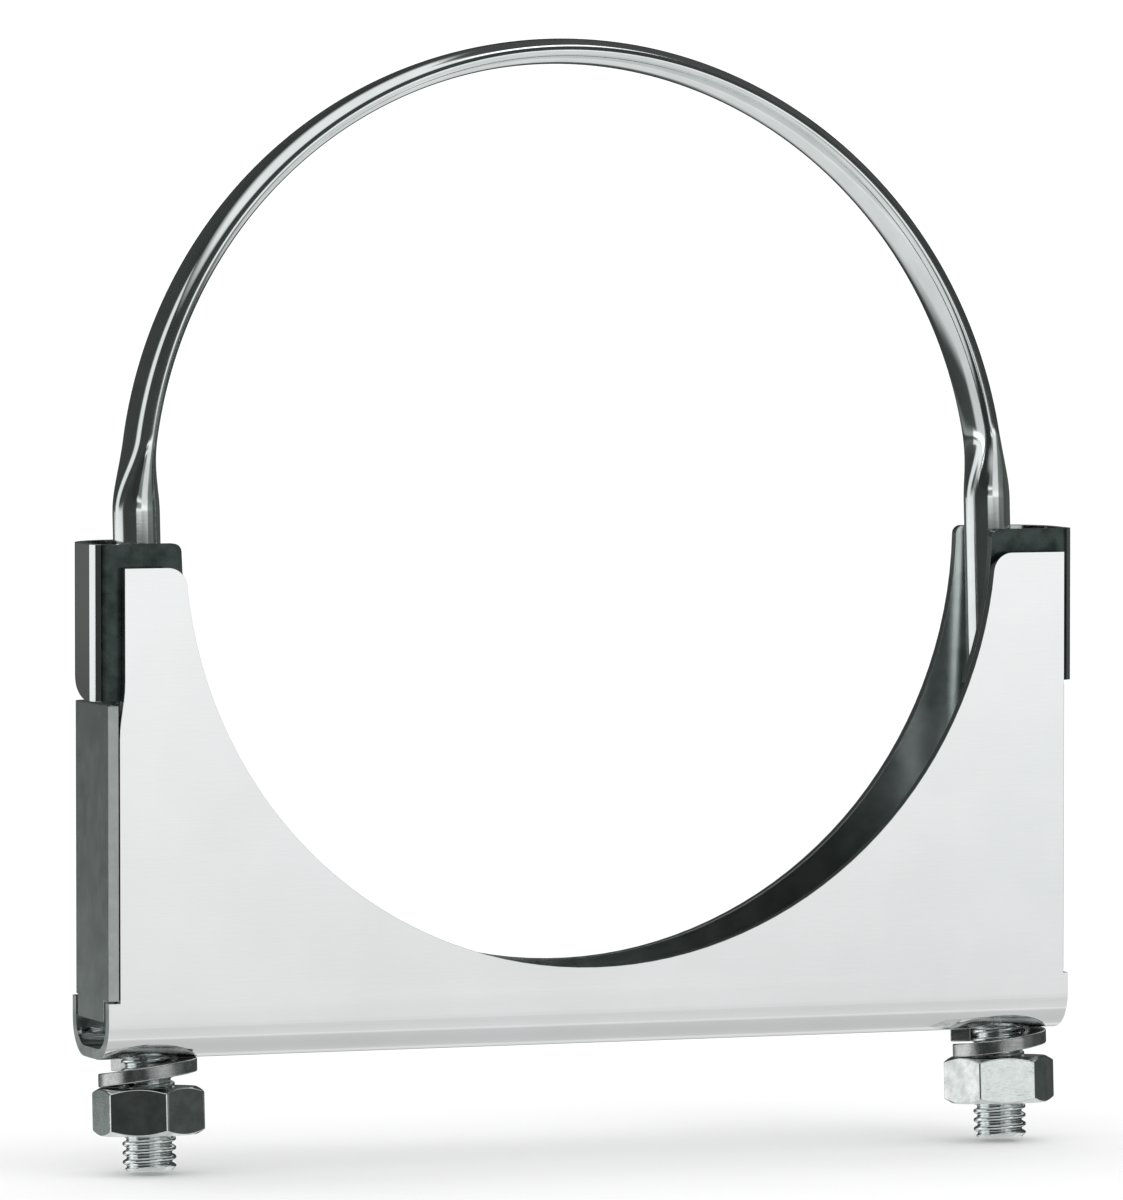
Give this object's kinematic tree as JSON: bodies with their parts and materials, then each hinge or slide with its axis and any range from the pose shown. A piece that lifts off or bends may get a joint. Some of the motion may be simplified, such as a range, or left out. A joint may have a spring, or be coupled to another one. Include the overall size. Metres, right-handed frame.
{
  "type": "u-bolt",
  "caption": "U-bolt exhaust clamp: folded sheet saddle with curled end collars, rod with a flattened bow, hex nuts and split lock washers.",
  "frame": {"origin": "on the pipe's axis, halfway through the saddle's depth", "axes": "+X along the saddle from the left leg to the right leg, +Y along the pipe away from the front plate, +Z from the nuts towards the top of the bow"},
  "size_m": [0.1846, 0.0272, 0.1972],
  "materials": {
    "saddle_plating": "bright plated sheet steel, lightly brushed",
    "bolt_plating": "bright plated steel rod",
    "nut_zinc": "bright zinc",
    "washer_zinc": "dull zinc"
  },
  "bodies": {
    "saddle": {"saddle": "saddle_plating"},
    "u_bolt": {"u_bolt": "bolt_plating"},
    "left_nut": {"left_nut": "nut_zinc"},
    "right_nut": {"right_nut": "nut_zinc"},
    "left_lock_washer": {"left_lock_washer": "washer_zinc"},
    "right_lock_washer": {"right_lock_washer": "washer_zinc"}
  },
  "joints": [
    {"name": "left_nut_turn", "type": "hinge", "parent": "saddle", "child": "left_nut", "pos_m": [-0.0804, -0.00185, -0.09683], "axis": [0, 0.0593, 0.9982], "range_deg": [-1350, 1512]},
    {"name": "right_nut_turn", "type": "hinge", "parent": "saddle", "child": "right_nut", "pos_m": [0.0804, -0.00185, -0.09683], "axis": [0, 0.0593, 0.9982], "range_deg": [-1350, 1512]},
    {"name": "u_bolt_draw", "type": "slide", "parent": "saddle", "child": "u_bolt", "axis": [0, 0.0593, 0.9982], "range_m": [-0.0066, 0.0059]},
    {"name": "left_washer_turn", "type": "hinge", "parent": "saddle", "child": "left_lock_washer", "pos_m": [-0.0804, -0.00185, -0.09683], "axis": [0, 0.0593, 0.9982], "continuous": true},
    {"name": "right_washer_turn", "type": "hinge", "parent": "saddle", "child": "right_lock_washer", "pos_m": [0.0804, -0.00185, -0.09683], "axis": [0, 0.0593, 0.9982], "continuous": true}
  ],
  "couplings": [
    {"joint": "left_nut_turn", "follows": "u_bolt_draw", "rad_per_m": -3957.9},
    {"joint": "right_nut_turn", "follows": "u_bolt_draw", "rad_per_m": -3957.9}
  ]
}
